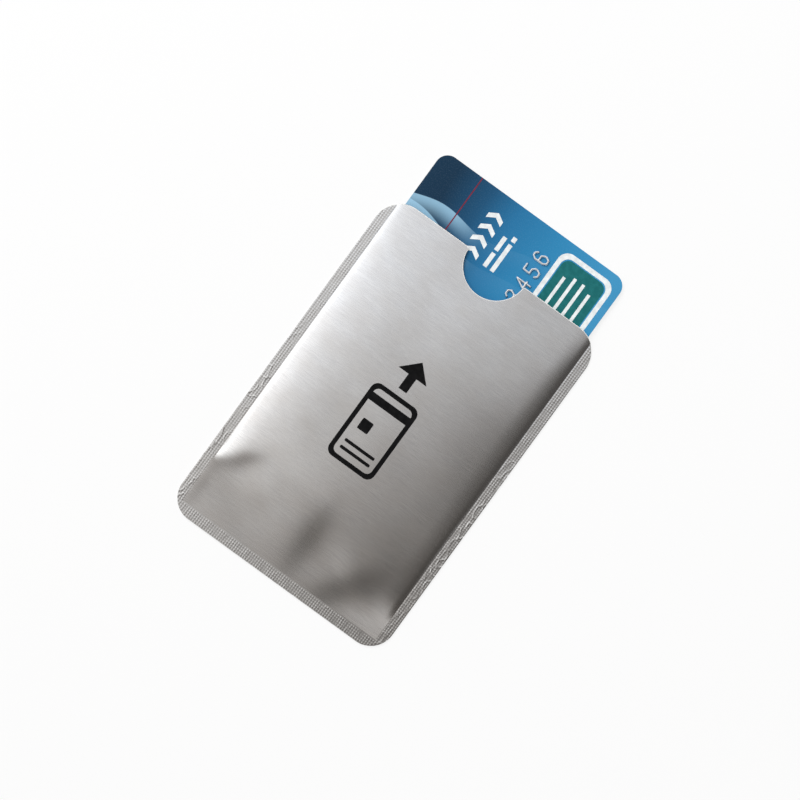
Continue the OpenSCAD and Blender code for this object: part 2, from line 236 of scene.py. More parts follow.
def waves(x, y, size, seed, count=7):
    """Smooth random field, mostly between -1 and 1, with features of the given size."""
    random = np.random.default_rng(seed)
    total = np.zeros_like(x)
    for _ in range(count):
        angle, phase = random.uniform(0, 2 * math.pi, 2)
        length = size * random.uniform(1.4, 2.6)
        total += np.sin(2 * math.pi * (x * math.cos(angle) + y * math.sin(angle)) / length + phase)
    return total / math.sqrt(count)


def arc(x, y, r, start, end):
    """Points along a round arc, between two angles in degrees."""
    count = max(2, math.ceil(abs(math.radians(end - start)) * r / EDGE_STEP))
    angles = np.radians(np.linspace(start, end, count + 1))
    return [(x + r * math.cos(a), y + r * math.sin(a)) for a in angles]


def filled(corners, step=EDGE_STEP, closed=True):
    """The same outline with points added where two of its points lie far apart."""
    points = []
    ends = corners[1:] + corners[:1] if closed else corners[1:]
    for start, end in zip(corners, ends):
        count = max(1, round(math.dist(start, end) / step))
        for i in range(count):
            share = i / count
            x = start[0] + share * (end[0] - start[0])
            y = start[1] + share * (end[1] - start[1])
            points.append((x, y))
    return points if closed else points + [corners[-1]]


def round_box_loop(low, high, r):
    """Outline of a rectangle with round corners."""
    x0, y0 = low[0] + r, low[1] + r
    x1, y1 = high[0] - r, high[1] - r
    right = arc(x1, y0, r, -90, 0) + arc(x1, y1, r, 0, 90)
    left = arc(x0, y1, r, 90, 180) + arc(x0, y0, r, 180, 270)
    return filled(right + left)


def corner_distance(across, along, r):
    """Distance from a round corner, by how far a point lies past its centre each way."""
    within = np.minimum(np.maximum(across, along), 0)
    return within + np.hypot(np.maximum(across, 0), np.maximum(along, 0)) - r


def round_box_distance(x, y, low, high, r):
    """Distance from a rectangle with round corners, negative inside it."""
    across = np.abs(x - (low[0] + high[0]) / 2) - (high[0] - low[0]) / 2 + r
    along = np.abs(y - (low[1] + high[1]) / 2) - (high[1] - low[1]) / 2 + r
    return corner_distance(across, along, r)


def growing_steps(reach):
    """Places from a seam inwards: small steps at first, and the panel's own step later on."""
    places = [WALL_W + FIRST_STEP]
    step = FIRST_STEP
    while places[-1] + step < reach:
        step = min(step * STEP_GROWTH, PANEL_STEP)
        places.append(places[-1] + step)
    return np.array(places)


def grid(xs, ys):
    """All points of a grid, as two flat arrays."""
    x, y = np.meshgrid(xs, ys)
    return x.ravel(), y.ravel()


# Sleeve's outline

def sleeve_loop(setback):
    """Die-cut outline with its thumb notch. The setback shortens it at the mouth and widens the notch."""
    top = mouth_y - setback
    lip_x = NOTCH_R + LIP_R
    lip_y = mouth_y - LIP_R
    lip_angle = math.degrees(math.asin(LIP_R / NOTCH_R)) + 1.5
    corner_x = half_w - MOUTH_CORNER_R
    corner_y = top - MOUTH_CORNER_R
    foot_x = half_w - FOOT_CORNER_R
    return filled(
        arc(foot_x, foot_y + FOOT_CORNER_R, FOOT_CORNER_R, -90, 0)
        + arc(corner_x, corner_y, MOUTH_CORNER_R, 0, 90)
        + arc(NOTCH_X + lip_x, lip_y, LIP_R - setback, 90, 180)
        + arc(NOTCH_X, mouth_y, NOTCH_R + setback, -lip_angle, lip_angle - 180)
        + arc(NOTCH_X - lip_x, lip_y, LIP_R - setback, 0, 90)
        + arc(-corner_x, corner_y, MOUTH_CORNER_R, 90, 180)
        + arc(-foot_x, foot_y + FOOT_CORNER_R, FOOT_CORNER_R, 180, 270)
    )


def sleeve_distance(x, y, setback=0.0):
    """Distance from that outline, negative on the material."""
    top = mouth_y - setback
    r = np.where(y > 0, MOUTH_CORNER_R, FOOT_CORNER_R)
    across = np.abs(x) - half_w + r
    along = np.where(y > 0, y - top, foot_y - y) + r
    plate = corner_distance(across, along, r)
    u = np.abs(x - NOTCH_X)
    v = y - mouth_y
    notch = NOTCH_R + setback - np.hypot(u, v)
    lip = np.hypot(u - NOTCH_R - LIP_R, v + LIP_R) - LIP_R + setback
    at_lip = (u < NOTCH_R + LIP_R) & (v > -LIP_R)
    return np.maximum(np.maximum(plate, notch), np.where(at_lip, lip, -half_w))


# Front web's form

def fall_line(x):
    """Where the web falls off the card's end, and over what width, at each x."""
    places, heights, widths = zip(*FALL_LINE)
    spots = [x + shift for shift in FALL_SHIFTS]
    line_y = np.mean([np.interp(spot, places, heights) for spot in spots], axis=0)
    width = np.mean([np.interp(spot, places, widths) for spot in spots], axis=0)
    return line_y, width


def slackness(x, y):
    """0 where the card fills the pocket and 1 beyond its end."""
    line_y, width = fall_line(x)
    return smooth(-0.5, 0.5, (line_y - y) / width)


def creases(x, y):
    """Soft creases where the web has folded over the card's end."""
    height = np.zeros_like(x)
    for fold_x, fold_y, direction, half_l, half_fold_w, fold_h in CREASES:
        c = math.cos(math.radians(direction))
        s = math.sin(math.radians(direction))
        along = ((x - fold_x) * c + (y - fold_y) * s) / half_l
        across = ((x - fold_x) * s - (y - fold_y) * c) / half_fold_w
        height -= fold_h * across / (1 + across ** 2) * np.exp(-along ** 2)
    return height


def after_losses(value, losses, y):
    """What is left of a value after shares of it are lost along the sleeve."""
    for share, places in losses:
        value = value * (1 - share * smooth(*places, y))
    return value


def side_fall(x, y, slack):
    """How far the front falls from its middle to its sides."""
    left = after_losses(LEFT_FALL, LEFT_LOSSES, y)
    right = after_losses(RIGHT_FALL, RIGHT_LOSSES, y)
    left += (SLACK_LEFT_FALL - left) * slack
    right += (SLACK_RIGHT_FALL - right) * slack
    share = np.minimum(np.abs(x / seam_x), 1)
    return np.where(x < 0, left * share ** LEFT_POWER, right * share ** RIGHT_POWER)


def crown(x, y, slack):
    """The front's height as if it had no steep edges."""
    middle = TOP_LIFT + (MOUTH_LIFT - TOP_LIFT) * smooth(*MOUTH_LIFT_Y, y) - SAG * smooth(*SAG_Y, y)
    low = SLACK_FOOT_LIFT + (SLACK_LIFT - SLACK_FOOT_LIFT) * smooth(*SLACK_LIFT_Y, y)
    middle += (low - middle) * slack
    loose = creases(x, y) + UNDULATION * waves(x, y, UNDULATION_SIZE, seed=3)
    return middle - side_fall(x, y, slack) + loose


def side_drop(x, y, slack):
    """Share of that height that is missing beside the side seams: 1 on them and 0 far from them."""
    from_side = np.maximum(seam_x - np.abs(x), 0)
    wall = WALL_SHARE + (MOUTH_WALL_SHARE - WALL_SHARE) * smooth(*WALL_SHARE_Y, y)
    wall += (1 - wall) * slack
    shoulder_w = SHOULDER_W * (1 + SHOULDER_WAVE * waves(x, y, SHOULDER_WAVE_SIZE, seed=5))
    shoulder = (1 - wall) * np.clip(1 - (from_side - WALL_W) / shoulder_w, 0, 1) ** 2
    steep = np.where(from_side < WALL_W, 1 - wall * from_side / WALL_W, shoulder)
    ease = np.clip(1 - from_side / EASE_REACH, 0, 1) ** 3
    share = np.where(x < 0, LEFT_EASE, RIGHT_EASE) * (1 - slack) * (1 - EASE_LOSS * smooth(*EASE_LOSS_Y, y))
    return (1 - share) * steep + share * ease


def web_lift(x, y):
    """Height of the front web above where it lies in the seams."""
    slack = slackness(x, y)
    foot_drop = np.clip(1 - (y - seam_y) / WALL_W, 0, 1)
    return (1 - side_drop(x, y, slack)) * (1 - foot_drop) * crown(x, y, slack)


def into_seam(x, y):
    """Distance outwards from the seam's inner edge, negative over the pocket."""
    return np.maximum(np.abs(x) - seam_x, seam_y - y)


def knurl(x, y):
    """Square grid of dots pressed into the seams, in places more weakly than in others."""
    rows, columns = (0.5 + 0.5 * np.cos(2 * math.pi * place / KNURL_PITCH) for place in (x, y))
    pressed = np.clip(PRESS_MEAN + PRESS_SPREAD * waves(x, y, PRESS_SIZE, seed=31), 0.2, 1.2)
    return rows * columns * pressed * smooth(0.0, 0.25, into_seam(x, y))


def crinkles(x, y):
    """Thin irregular ridges where the seams have been bent and pressed, from 0 to 1."""
    field = waves(x * 1.3, y * 0.8, CRINKLE_SIZE, seed=11, count=14)
    ridge = np.clip(1 - np.abs(field) * CRINKLE_SHARPNESS, 0, 1) ** 1.5
    patches = smooth(-1.2, 0.7, waves(x, y, CRINKLE_PATCH_SIZE, seed=23))
    from_mouth = MOUTH_CRINKLES + (1 - MOUTH_CRINKLES) * smooth(*MOUTH_CRINKLES_Y, y)
    from_foot = FOOT_CRINKLES + (1 - FOOT_CRINKLES) * smooth(seam_y - 1, seam_y + 1, y)
    return ridge * (patches * from_mouth) * from_foot * smooth(0.2, 0.7, into_seam(x, y))


def film_top(x, y):
    """Outer face of the front."""
    return seam_top_z + web_lift(x, y) + KNURL_H * knurl(x, y) + CRINKLE_H * crinkles(x, y)


def front_level(z):
    """A level of the front web, z high in the seams."""
    return lambda x, y: z + web_lift(x, y)


def flat_level(z):
    """A flat level, z high everywhere."""
    return lambda x, y: np.full_like(x, z)


def back_bottom(x, y):
    """Outer face of the back: flat, with the seams' grid pressed into it."""
    return PRESS_DEPTH * knurl(x, y)


# Plans: a plan is an array of points and an array of triangles over them

def make_plan(loops, lines, x, y, inside):
    """Triangles over outlines, lines and free points, kept where inside is true."""
    points = []
    edges = []
    for path, closed in [(loop, True) for loop in loops] + [(line, False) for line in lines]:
        start = len(points)
        points += path
        edges += [(start + i, start + i + 1) for i in range(len(path) - 1)]
        if closed:
            edges.append((len(points) - 1, start))
    points += list(zip(x, y))
    found, _, faces, *_ = delaunay_2d_cdt([Vector(p) for p in points], edges, [], 0, 1e-6)
    xy = np.array([tuple(v) for v in found])
    faces = np.array(faces)
    a, b, c = (xy[faces[:, i]] for i in range(3))
    turn = (b[:, 0] - a[:, 0]) * (c[:, 1] - a[:, 1]) - (b[:, 1] - a[:, 1]) * (c[:, 0] - a[:, 0])
    faces[turn < 0] = faces[turn < 0][:, ::-1]
    middle = (a + b + c) / 3
    return used_part(xy, faces[inside(middle[:, 0], middle[:, 1]) & (np.abs(turn) > 1e-9)])


def used_part(xy, faces):
    """A plan of these triangles and of the points that they use."""
    used, faces = np.unique(faces, return_inverse=True)
    return xy[used], faces.reshape(-1, 3)


def cut_plan(plan, inside):
    """The part of a plan where inside is true."""
    xy, faces = plan
    middle = xy[faces].mean(axis=1)
    return used_part(xy, faces[inside(middle[:, 0], middle[:, 1])])


def fold_lines():
    """The seams' inner edges, where the front web turns up, and the top of its wall there."""
    side_y = mouth_y - MOUTH_CORNER_R + math.sqrt(MOUTH_CORNER_R ** 2 - (MOUTH_CORNER_R - SIDE_SEAM_W) ** 2)
    lines = []
    for inwards in (0, WALL_W):
        x = seam_x - inwards
        y = seam_y + inwards
        lines += [[(side * x, y), (side * x, side_y - LINE_GAP)] for side in (-1, 1)]
        lines.append([(EDGE_STEP - x, y), (x - EDGE_STEP, y)])
    return [filled(line, closed=False) for line in lines]


def panel_points(setback):
    """Points over the pocket, close together beside the seams."""
    from_side = growing_steps(seam_x)
    xs = np.concatenate([-seam_x + from_side, seam_x - from_side])
    ys = seam_y + growing_steps(mouth_y - seam_y)
    x, y = grid(xs, ys)
    keep = sleeve_distance(x, y, setback) < -PANEL_CLEAR
    return x[keep], y[keep]


def seam_points(step, setback):
    """Points over the seams."""
    steps = int(mouth_y / step) + 1
    places = np.arange(-steps, steps + 1) * step
    x, y = grid(places, places)
    off_edge = sleeve_distance(x, y, setback) < -SEAM_CLEAR * min(step, EDGE_STEP)
    keep = (into_seam(x, y) > SEAM_CLEAR * step) & off_edge
    return x[keep], y[keep]


def sleeve_plan(panel, seam_step, setback, extra_lines=()):
    """Plan of one face of a web, from its points over the pocket and its seams' step."""
    seams = seam_points(seam_step, setback)
    x = np.concatenate([panel[0], seams[0]])
    y = np.concatenate([panel[1], seams[1]])
    return make_plan(
        [sleeve_loop(setback)], fold_lines() + list(extra_lines), x, y,
        lambda px, py: sleeve_distance(px, py, setback) < 0,
    )


def front_plan(seam_step, setback, extra_lines=()):
    """Plan of a face of the front web."""
    return sleeve_plan(panel_points(setback), seam_step, setback, extra_lines)


def back_plan(seam_step):
    """Plan of a face of the back web, which is flat over the pocket."""
    panel = grid(np.arange(-24, 25, FLAT_STEP), np.arange(-36, 37, FLAT_STEP))
    return sleeve_plan(panel, seam_step, 0.0)


# Meshes

def open_edges(faces):
    """Edges that only one triangle has, each in that triangle's own direction."""
    pairs = np.concatenate([faces[:, [0, 1]], faces[:, [1, 2]], faces[:, [2, 0]]])
    known = set(map(tuple, pairs.tolist()))
    return sorted((a, b) for a, b in known if (b, a) not in known)


def place_key(point):
    """A point's rounded place, the same for points that meet."""
    return round(float(point[0]), 4), round(float(point[1]), 4)


def closed_sheet(name, top_plan, bottom_plan, top, bottom):
    """Closed solid between two heights. Both plans have the same outline, with the same points on it."""
    top_xy, top_faces = top_plan
    bottom_xy, bottom_faces = bottom_plan
    count = len(top_xy)
    z_top = top(top_xy[:, 0], top_xy[:, 1])
    z_bottom = bottom(bottom_xy[:, 0], bottom_xy[:, 1])
    verts = np.concatenate([np.column_stack([top_xy, z_top]), np.column_stack([bottom_xy, z_bottom])])
    faces = top_faces.tolist() + (bottom_faces[:, ::-1] + count).tolist()
    under = {place_key(p): i + count for i, p in enumerate(bottom_xy)}
    for a, b in open_edges(top_faces):
        faces.append((a, under[place_key(top_xy[a])], under[place_key(top_xy[b])], b))
    return make_mesh(name, verts, faces)


def make_mesh(name, verts, faces, crease=38):
    """Smooth mesh object from points in millimetres, with sharp edges past the crease angle."""
    mesh = bpy.data.meshes.new(name)
    mesh.from_pydata((np.asarray(verts) * MM).tolist(), [], faces)
    mesh.validate()
    mesh.shade_smooth()
    mesh.set_sharp_from_angle(angle=math.radians(crease))
    piece = bpy.data.objects.new(name, mesh)
    bpy.context.scene.collection.objects.link(piece)
    return piece


def finish_piece(piece, body, slot, *nodes):
    """Puts a new piece on its body in place of its CAD nodes, in the finish of its slot."""
    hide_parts(*nodes)
    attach(piece, body)
    piece.data.materials.append(PAINTS[slot])


# Materials

# What a noise's values mostly lie between
NOISE_RANGE = (0.3, 0.7)
# Painted tint of the reflected light: the film goes from a little warm at the foot to a little cool at the
# mouth
FOOT_LIGHT_TINT = (1.0, 0.985, 0.962)
MOUTH_LIGHT_TINT = (0.962, 0.98, 1.0)
TINT_Y = (-30, 38)


def srgb(red, green, blue):
    """A colour as a screen shows it, from 0 to 255, turned into linear light."""
    levels = [level / 255 for level in (red, green, blue)]
    return tuple(v / 12.92 if v <= 0.04045 else ((v + 0.055) / 1.055) ** 2.4 for v in levels)


def dimmed(colour, share):
    """A share of a colour."""
    return tuple(channel * share for channel in colour)


def colour_socket(sockets, name):
    """The socket of that name that holds a colour."""
    return [socket for socket in sockets if socket.name == name and socket.type == "RGBA"][0]


class Tree:
    """Short ways to add nodes to a node tree. A value is a number, a colour or a node's output."""

    def __init__(self, tree):
        self.tree = tree

    def node(self, kind, **settings):
        """A new node."""
        made = self.tree.nodes.new(kind)
        for setting, value in settings.items():
            setattr(made, setting, value)
        return made

    def feed(self, socket, value):
        """Sets a socket, or links it if the value is another node's output."""
        if isinstance(value, bpy.types.NodeSocket):
            self.tree.links.new(value, socket)
        else:
            socket.default_value = value

    def math(self, operation, a, b=0.0):
        """Result of an operation on one or two values."""
        made = self.node("ShaderNodeMath", operation=operation)
        self.feed(made.inputs[0], a)
        self.feed(made.inputs[1], b)
        return made.outputs[0]

    def plus(self, a, b):
        return self.math("ADD", a, b)

    def minus(self, a, b):
        return self.math("SUBTRACT", a, b)

    def times(self, a, b):
        return self.math("MULTIPLY", a, b)

    def parts(self, vector):
        """The three numbers of a vector."""
        split = self.node("ShaderNodeSeparateXYZ")
        self.feed(split.inputs[0], vector)
        return tuple(split.outputs)

    def scaled(self, value, low, high, to_low=0.0, to_high=1.0, soft=False):
        """Carries a range over to another range."""
        made = self.node("ShaderNodeMapRange", interpolation_type="SMOOTHSTEP" if soft else "LINEAR")
        for socket, number in zip(made.inputs, (value, low, high, to_low, to_high)):
            self.feed(socket, number)
        return made.outputs[0]

    def mix(self, share, a, b, blend="MIX"):
        """Colour that goes from a to b."""
        made = self.node("ShaderNodeMix", data_type="RGBA", blend_type=blend)
        self.feed(made.inputs["Factor"], share)
        for name, colour in (("A", a), ("B", b)):
            value = colour if isinstance(colour, bpy.types.NodeSocket) else (*colour, 1)
            self.feed(colour_socket(made.inputs, name), value)
        return colour_socket(made.outputs, "Result")


class Paint(Tree):
    """A material built of nodes, with its detail measured in millimetres on the piece itself."""

    def __init__(self, name, colour, roughness, **settings):
        self.material = bpy.data.materials.new(name)
        self.material.use_nodes = True
        super().__init__(self.material.node_tree)
        self.shader = self.tree.nodes["Principled BSDF"]
        self.into("Base Color", (*colour, 1))
        self.into("Roughness", roughness)
        for socket, value in settings.items():
            self.into(socket.replace("_", " "), value)
        self.place = self.node("ShaderNodeTexCoord").outputs["Object"]
        self.normal = None

    def into(self, name, value):
        """Feeds one of the shader's own sockets."""
        self.feed(self.shader.inputs[name], value)

    def axis(self, index):
        """Place along one axis, in millimetres."""
        return self.times(self.parts(self.place)[index], 1 / MM)

    def noise(self, sizes, detail=2.0, shift=0.0):
        """Noise whose features have one size, or one size along each axis, in millimetres."""
        if not isinstance(sizes, tuple):
            sizes = (sizes, sizes, sizes)
        mapping = self.node("ShaderNodeMapping")
        self.feed(mapping.inputs["Vector"], self.place)
        self.feed(mapping.inputs["Scale"], [1 / (size * MM) for size in sizes])
        self.feed(mapping.inputs["Location"], (shift, shift, shift))
        made = self.node("ShaderNodeTexNoise")
        self.feed(made.inputs["Vector"], mapping.outputs[0])
        self.feed(made.inputs["Scale"], 1.0)
        self.feed(made.inputs["Detail"], detail)
        return made.outputs["Fac"]

    def spread(self, noise, low, high):
        """Carries a noise over to the range from low to high."""
        return self.scaled(noise, *NOISE_RANGE, low, high)

    def stripes(self, index, pitch):
        """Stripes across one axis that swing between -1 and 1."""
        return self.math("SINE", self.times(self.axis(index), 2 * math.pi / pitch))

    def bump(self, height, depth):
        """Adds fine relief, as deep as given in millimetres."""
        made = self.node("ShaderNodeBump")
        self.feed(made.inputs["Strength"], 1.0)
        self.feed(made.inputs["Distance"], depth * MM)
        self.feed(made.inputs["Height"], height)
        if self.normal is not None:
            self.feed(made.inputs["Normal"], self.normal)
        self.normal = made.outputs["Normal"]
        self.into("Normal", self.normal)


def seam_share(paint):
    """1 on the seams and 0 over the pocket."""
    side = paint.minus(paint.math("ABSOLUTE", paint.axis(0)), seam_x)
    foot = paint.minus(seam_y, paint.axis(1))
    return paint.scaled(paint.math("MAXIMUM", side, foot), 0.0, 0.3)


def knurl_groove_shade(paint):
    """Share of painted shade in the grooves between the knurl's dots: 1 in the grooves and 0 on the dots.
    """
    turns = [paint.times(paint.axis(i), 2 * math.pi / KNURL_PITCH) for i in (0, 1)]
    dots = [paint.scaled(paint.math("COSINE", turn), -1, 1) for turn in turns]
    return paint.scaled(paint.times(*dots), 0.0, 0.5, 1.0, 0.0)


def brushed_film():
    """Metallised film with fine scratches across the sleeve, rubbed smoother towards the mouth, and painted
    shade in the grooves of its knurl.
    """
    paint = Paint("brushed_film", srgb(226, 226, 228), 0.2, Metallic=1.0, Anisotropic=0.6)
    grain_axis = paint.node("ShaderNodeCombineXYZ")
    paint.feed(grain_axis.inputs["Y"], 1.0)
    paint.into("Tangent", grain_axis.outputs[0])
    long_grain = paint.noise((5.5, 0.3, 3), 3.0)
    short_grain = paint.noise((2.0, 0.16, 3), 3.0, shift=7.0)
    cloud = paint.noise((7, 5, 9), 4.0, shift=3.0)
    grain = paint.plus(paint.times(long_grain, 0.4), paint.times(short_grain, 0.6))
    shade = paint.mix(paint.scaled(grain, 0.36, 0.64), srgb(221, 221, 223), srgb(234, 234, 235))
    shade = paint.mix(paint.scaled(cloud, 0.35, 0.7, 0, 0.4), shade, srgb(213, 209, 206))
    to_mouth = paint.scaled(paint.axis(1), *TINT_Y)
    # Painted tint of the reflected light, warm at the foot and cool at the mouth
    shade = paint.mix(1.0, shade, paint.mix(to_mouth, FOOT_LIGHT_TINT, MOUTH_LIGHT_TINT), "MULTIPLY")
    seam = seam_share(paint)
    # The knurl's grooves get a painted shade: a darker grey in place of the shadow between the dots.
    groove_shade = paint.times(seam, knurl_groove_shade(paint))
    paint.into("Base Color", paint.mix(groove_shade, shade, srgb(208, 207, 206)))
    paint.into("Roughness", paint.plus(paint.spread(cloud, 0.19, 0.21), paint.times(seam, 0.05)))
    rubbed = paint.scaled(to_mouth, 0.4, 1.0, 1.0, 0.55)
    paint.bump(paint.times(long_grain, rubbed), 0.0004)
    paint.bump(paint.times(short_grain, rubbed), 0.0003)
    return paint.material


def shield_foil():
    """Bright rolled foil."""
    paint = Paint("shield_foil", srgb(232, 233, 235), 0.22, Metallic=1.0)
    roll = paint.noise((20, 0.5, 2), 2.0)
    paint.into("Base Color", paint.mix(roll, srgb(222, 223, 226), srgb(240, 240, 241)))
    paint.into("Roughness", paint.spread(roll, 0.16, 0.28))
    paint.bump(roll, 0.001)
    return paint.material


def paper(name, colour, fibre_depth):
    """White paper with short fibres."""
    paint = Paint(name, colour, 0.82)
    fibres = paint.noise((0.5, 0.09, 0.09), 4.0)
    cross = paint.noise((0.09, 0.6, 0.09), 4.0, shift=5.0)
    mottle = paint.noise(2.5, 3.0)
    weave = paint.plus(paint.times(fibres, 0.5), paint.times(cross, 0.5))
    dark = dimmed(colour, 0.88)
    shade = paint.mix(paint.scaled(weave, 0.35, 0.65), dark, colour)
    paint.into("Base Color", paint.mix(paint.scaled(mottle, 0.4, 0.8, 0, 0.3), shade, dark))
    paint.bump(weave, fibre_depth)
    return paint.material


def ink(name, colour, roughness=0.45):
    """Thin printed ink with pinholes and a faint unevenness."""
    paint = Paint(name, colour, roughness, Specular_IOR_Level=0.08)
    patchy = paint.noise(1.2, 4.0)
    grain = paint.noise(0.12, 2.0, shift=4.0)
    lighter = tuple(channel * 1.25 + 0.004 for channel in colour)
    paint.into("Base Color", paint.mix(paint.scaled(patchy, 0.4, 0.75), colour, lighter))
    paint.into("Roughness", paint.spread(grain, roughness - 0.08, roughness + 0.1))
    paint.bump(grain, 0.002)
    return paint.material


def plastic(name, colour):
    """Dyed card plastic with milled edges."""
    paint = Paint(name, colour, 0.42)
    milling = paint.noise((0.4, 0.4, 0.05), 3.0)
    specks = paint.noise(0.2, 1.0, shift=2.0)
    paint.into("Base Color", paint.mix(milling, dimmed(colour, 0.9), colour))
    paint.into("Roughness", paint.spread(specks, 0.36, 0.5))
    paint.bump(milling, 0.003)
    return paint.material


def metal(name, light, dark, roughness):
    """Plated or etched metal."""
    paint = Paint(name, light, roughness, Metallic=1.0)
    tarnish = paint.noise(1.5, 3.0)
    grain = paint.noise((0.1, 0.5, 0.1), 2.0, shift=6.0)
    paint.into("Base Color", paint.mix(paint.scaled(tarnish, 0.35, 0.7), light, dark))
    paint.into("Roughness", paint.spread(grain, roughness - 0.05, roughness + 0.08))
    paint.bump(grain, 0.0012)
    return paint.material


def card_gradient(paint):
    """Blue that brightens across the card, as a chain of mixes along X."""
    x = paint.plus(paint.axis(0), paint.spread(paint.noise(30, 1.0), -2.0, 2.0))
    colour = srgb(24, 52, 76)
    for start, end, next_colour in (
        (-22, -12, srgb(32, 82, 119)), (-12, -3, srgb(42, 115, 162)),
        (-3, 8, srgb(50, 134, 182)), (8, 24, srgb(68, 150, 196)),
    ):
        colour = paint.mix(paint.scaled(x, start, end), colour, next_colour)
    return colour


def wave_band(paint, middle, swing, length, width, lean):
    """Share of a soft band that runs across the card in a wave."""
    wave = paint.times(paint.stripes(0, length), swing)
    centre = paint.plus(paint.plus(wave, middle), paint.times(paint.axis(0), lean))
    depth = paint.minus(centre, paint.axis(1))
    below = paint.scaled(depth, 0.0, width, 1.0, 0.0, soft=True)
    edge = paint.scaled(depth, -0.15, 0.0)
    return paint.times(below, edge)


def card_face():
    """Glossy printed face: a blue gradient with soft pale waves."""
    paint = Paint("card_face", srgb(50, 120, 170), 0.3, Specular_IOR_Level=0.07)
    colour = card_gradient(paint)
    left = paint.scaled(paint.axis(0), -5, -17, soft=True)
    strength = paint.plus(paint.times(left, 0.72), 0.04)
    for middle, swing, length, width, lean in (
        (51.2, 1.1, 26, 5.0, 0.08), (44.0, 1.4, 31, 6.0, -0.08), (36.0, 1.6, 24, 5.5, 0.12),
        (24.0, 1.5, 29, 6.5, 0.05), (8.0, 1.8, 33, 8.0, -0.06), (-10.0, 1.5, 27, 6.5, 0.09),
    ):
        share = paint.times(wave_band(paint, middle, swing, length, width, lean), strength)
        colour = paint.mix(share, colour, srgb(158, 202, 229))
    speckle = paint.scaled(paint.noise(0.25, 2.0), 0.5, 0.8, 0, 0.05)
    paint.into("Base Color", paint.mix(speckle, colour, srgb(190, 215, 230)))
    paint.into("Roughness", paint.spread(paint.noise(6, 3.0, shift=2.0), 0.26, 0.36))
    paint.bump(paint.noise(0.8, 2.0, shift=8.0), 0.001)
    return paint.material


def card_back():
    """Plain pale back of the card, with fine lines across it."""
    paint = Paint("card_back", srgb(150, 184, 208), 0.32, Coat_Weight=0.3, Coat_Roughness=0.1)
    drift = paint.spread(paint.noise(22, 2.0), 0.0, 1.0)
    colour = paint.mix(drift, srgb(140, 176, 203), srgb(172, 201, 220))
    lines = paint.scaled(paint.stripes(1, 1.6), 0.6, 1.0, 0, 0.25)
    paint.into("Base Color", paint.mix(lines, colour, srgb(120, 160, 190)))
    paint.bump(paint.noise(0.8, 2.0, shift=8.0), 0.001)
    return paint.material


def embossed_silver():
    """Raised digits: card blue on their flanks and silver foil on their tips."""
    paint = Paint("embossed_silver", srgb(60, 130, 180), 0.3)
    ragged = paint.spread(paint.noise(0.5, 3.0), -0.1, 0.1)
    level = paint.plus(paint.axis(2), ragged)
    tip = paint.scaled(level, number_low[2] + SILVER_FROM, number_low[2] + SILVER_WHOLE)
    paint.into("Base Color", paint.mix(tip, card_gradient(paint), srgb(236, 238, 240)))
    paint.into("Metallic", tip)
    paint.into("Roughness", paint.scaled(tip, 0, 1, 0.3, 0.24))
    paint.bump(paint.noise(0.15, 2.0), 0.003)
    return paint.material


def resin():
    """Dark potting resin over the chip."""
    paint = Paint("chip_resin", srgb(38, 38, 40), 0.28)
    flow = paint.noise(2, 3.0)
    paint.into("Base Color", paint.mix(flow, srgb(28, 28, 30), srgb(58, 57, 56)))
    paint.into("Roughness", paint.spread(flow, 0.18, 0.4))
    paint.bump(flow, 0.02)
    return paint.material


def chip_tape():
    """Woven glass tape under the contacts."""
    paint = Paint("chip_tape", srgb(150, 128, 84), 0.5)
    weave = paint.times(paint.stripes(0, 0.3), paint.stripes(1, 0.3))
    paint.into("Base Color", paint.mix(paint.scaled(weave, -1, 1), srgb(132, 110, 70), srgb(172, 150, 104)))
    paint.bump(weave, 0.01)
    return paint.material


PAINTS = {
    "brushed_film": brushed_film(),
    "shield_foil": shield_foil(),
    "liner_paper": paper("liner_paper", srgb(240, 240, 238), 0.012),
    "seal_coating": paper("seal_coating", srgb(236, 236, 233), 0.006),
    "black_ink": ink("black_ink", srgb(12, 12, 13)),
    "card_plastic": plastic("card_plastic", srgb(228, 226, 216)),
    "antenna_copper": metal("antenna_copper", srgb(214, 142, 104), srgb(176, 104, 74), 0.28),
    "chip_resin": resin(),
    "chip_tape": chip_tape(),
    "contact_gold": metal("contact_gold", srgb(232, 196, 118), srgb(206, 164, 88), 0.24),
    "card_face": card_face(),
    "card_back": card_back(),
    "stripe_black": ink("stripe_black", srgb(30, 27, 25), 0.35),
    "signature_paper": paper("signature_paper", srgb(232, 230, 222), 0.006),
    "embossed_silver": embossed_silver(),
    "white_ink": ink("white_ink", srgb(226, 230, 231), 0.4),
    "teal_ink": ink("teal_ink", srgb(30, 104, 106), 0.35),
    "red_ink": ink("red_ink", srgb(116, 44, 62), 0.4),
}


# Pieces of the sleeve

def make_film():
    """Outer film of the front, with the knurl and the crinkles on its seams."""
    fine = front_plan(KNURL_PITCH / FRONT_DOT_STEPS, FILM_SETBACK)
    coarse = front_plan(SEAM_STEP, FILM_SETBACK)
    film = closed_sheet("front_film_skin", fine, coarse, film_top, front_level(film_z))
    finish_piece(film, "sleeve", "brushed_film", "front_film")


def make_foil():
    """Foil under the film."""
    plan = front_plan(SEAM_STEP, FOIL_SETBACK)
    foil = closed_sheet("front_foil_sheet", plan, plan, front_level(film_z), front_level(foil_z))
    finish_piece(foil, "sleeve", "shield_foil", "front_foil")


